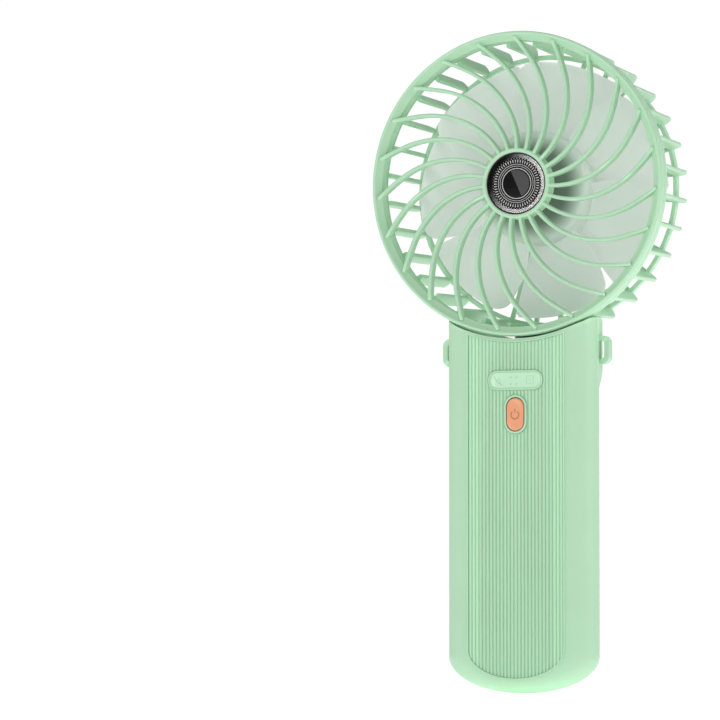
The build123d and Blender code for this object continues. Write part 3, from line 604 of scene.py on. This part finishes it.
def make_power_symbol():
    symbol = Shape()
    surface, middle = button_low.y, (button_low.z + button_high.z) / 2
    arc = [(SYMBOL_R * sin(radians(t)), SYMBOL_R * cos(radians(t)) - SYMBOL_DROP) for t in range(40, 321, 8)]
    stroke(symbol, arc, SYMBOL_W, surface, middle)
    stroke(symbol, [(0, 0.55), (0, 1.9)], SYMBOL_W, surface, middle)
    symbol.build("power_symbol", "button", orange_dark)


def make_window_icons():
    icons = Shape()
    surface, middle = window_low.y, (window_low.z + window_high.z) / 2
    # a slanting line with a hook
    stroke(icons, [(-7.7, 1.45), (-7.0, -0.1), (-6.3, -0.75), (-4.7, -1.7)], ICON_MEDIUM, surface, middle)
    stroke(icons, [(-6.9, -0.1), (-5.9, 0.5), (-5.4, -0.3), (-5.7, -1.2)], ICON_THIN, surface, middle)
    # four dots
    for x in (-1.75, 0.25):
        for z in (-1.15, 1.15):
            stroke(icons, [(x - 0.35, z - 0.2), (x + 0.1, z - 0.3), (x + 0.35, z + 0.2)], ICON_BOLD,
                   surface, middle)
    # a battery
    stroke(icons, [(4.2, 1.35), (6.3, 1.35), (6.5, 1.15), (6.5, -1.15), (6.3, -1.35), (4.2, -1.35),
                   (4.0, -1.15), (4.0, 1.15), (4.2, 1.35)], ICON_FINE, surface, middle)
    stroke(icons, [(4.8, 0.7), (5.6, 0.1), (4.9, -0.1), (5.7, -0.75)], ICON_FINE, surface, middle)
    # painted shade: a dark line round the window where the fine gap's shade falls, a little in front of the
    # icons
    half, radius = WINDOW_W / 2 - GAP_SHADE_INSET, WINDOW_H / 2 - GAP_SHADE_INSET
    ends = [(side * (half - radius) + side * radius * cos(radians(t)), side * radius * sin(radians(t)))
            for side in (1, -1) for t in range(-90, 91, 10)]
    stroke(icons, ends + ends[:1], GAP_SHADE_W, surface - 0.03 * MM, middle)
    icons.build("window_icons", "handle", mint_icon)


make_grille()
make_badge()
make_cage()
make_cup()
make_blades()
make_power_symbol()
make_window_icons()

# ---------------------------------------------------------------- floor, backdrop, light and camera
FLOOR_R, BACKDROP_SIZE = 9.0, 8.0                        # metres from here on
AZIMUTH, ELEVATION = radians(21.0), radians(-3.3)
CAMERA_DISTANCE, LENS_MM, SENSOR_MM = 1.9, 277.4, 36.0
AIM_LEFT, AIM_DOWN = 0.0531, 0.0606                      # the aim's place, from the middle of the head
FAN_MIDDLE = Vector((0, 0, 0.13))
LIGHTS = (("key", (-0.75, -0.85, 1.05), 0.5, 4.0), ("right_side", (1.4, 0.1, 0.6), 0.8, 5.2),
          ("low_front", (0.3, -1.6, 0.25), 0.8, 1.6))    # name, place, size and power in watts


def stage(name, finish, base, roughness, emission):
    """Names the object just made and gives it a finish that glows white."""
    obj = bpy.context.object
    obj.name = name
    material, _, shader = new_material(finish)
    shader.inputs["Base Color"].default_value = (base, base, base, 1)
    shader.inputs["Roughness"].default_value = roughness
    shader.inputs["Emission Color"].default_value = (1, 1, 1, 1)
    shader.inputs["Emission Strength"].default_value = emission
    obj.data.materials.append(material)
    return obj


bpy.ops.mesh.primitive_circle_add(vertices=96, radius=FLOOR_R, fill_type="NGON",
                                  location=(0, 0, cad_box[0][2]))
stage("floor", "pale_floor", base=0.95, roughness=0.9, emission=0.58)

world = bpy.data.worlds.new("studio")
bpy.context.scene.world = world
world.use_nodes = True
world.node_tree.nodes["Background"].inputs["Color"].default_value = (1, 1, 1, 1)
world.node_tree.nodes["Background"].inputs["Strength"].default_value = 0.42

for name, place, size, power in LIGHTS:
    light = bpy.data.lights.new(name, "AREA")
    light.shape, light.size, light.energy = "DISK", size, power
    lamp = bpy.data.objects.new(name, light)
    lamp.location = place
    lamp.rotation_euler = (FAN_MIDDLE - Vector(place)).to_track_quat("-Z", "Y").to_euler()
    bpy.context.scene.collection.objects.link(lamp)

back = Vector((sin(AZIMUTH) * cos(ELEVATION), -cos(AZIMUTH) * cos(ELEVATION), sin(ELEVATION)))
right = Vector((cos(AZIMUTH), sin(AZIMUTH), 0))
up = back.cross(right)
target = Vector((0, FRONT_Y, HEAD_Z)) - AIM_LEFT * right - AIM_DOWN * up
camera_data = bpy.data.cameras.new("camera")
camera_data.lens, camera_data.sensor_width = LENS_MM, SENSOR_MM
camera = bpy.data.objects.new("camera", camera_data)
camera.location = target + back * CAMERA_DISTANCE
camera.rotation_euler = back.to_track_quat("Z", "Y").to_euler()
bpy.context.scene.collection.objects.link(camera)
bpy.context.scene.camera = camera
bpy.context.scene.view_settings.view_transform = "Standard"

# white backdrop, seen by the camera only, so that it doesn't light the fan from behind
bpy.ops.mesh.primitive_plane_add(size=BACKDROP_SIZE, location=(-1.0, 3.0, 1.0),
                                 rotation=(radians(90), 0, AZIMUTH))
backdrop = stage("backdrop", "white_backdrop", base=0.0, roughness=0.5, emission=1.0)
backdrop.visible_diffuse = backdrop.visible_glossy = False
